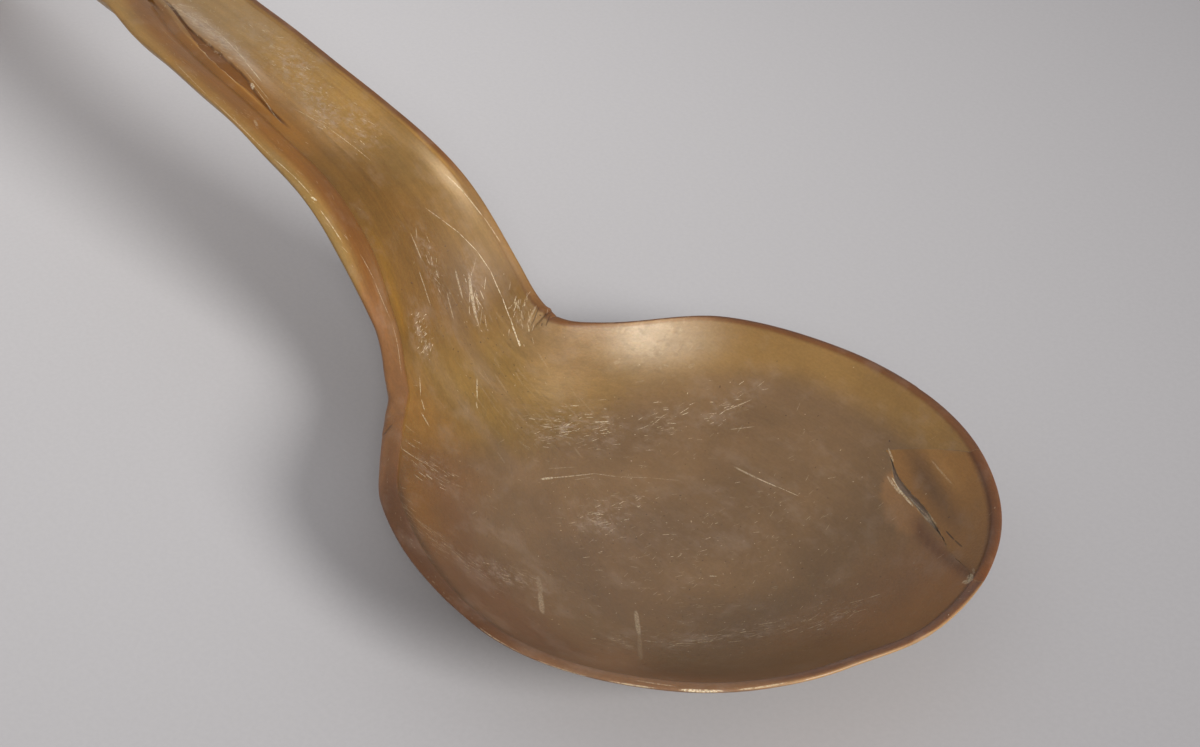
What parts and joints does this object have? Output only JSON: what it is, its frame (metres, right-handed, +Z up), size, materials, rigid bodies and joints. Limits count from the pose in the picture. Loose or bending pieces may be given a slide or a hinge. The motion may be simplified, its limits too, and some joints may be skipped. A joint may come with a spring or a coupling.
{
  "type": "horn spoon",
  "caption": "Horn spoon with a shallow oval bowl and an arched handle carved in one, and a thin split layer at the lip.",
  "frame": {"origin": "centre of the spoon's box in plan, at the level that the bowl and the handle's tip stand on", "axes": "+X along the spoon to the lip, +Y to the side with the thin edge, +Z up"},
  "size_m": [0.3824, 0.1124, 0.052],
  "materials": {
    "horn": "worn satin horn, amber brown, lit through where it is thin",
    "split_horn": "worn satin horn, a little redder, with an open dark edge"
  },
  "bodies": {
    "root": {"spoon_body": "horn", "lip_layer": "split_horn"}
  },
  "joints": []
}
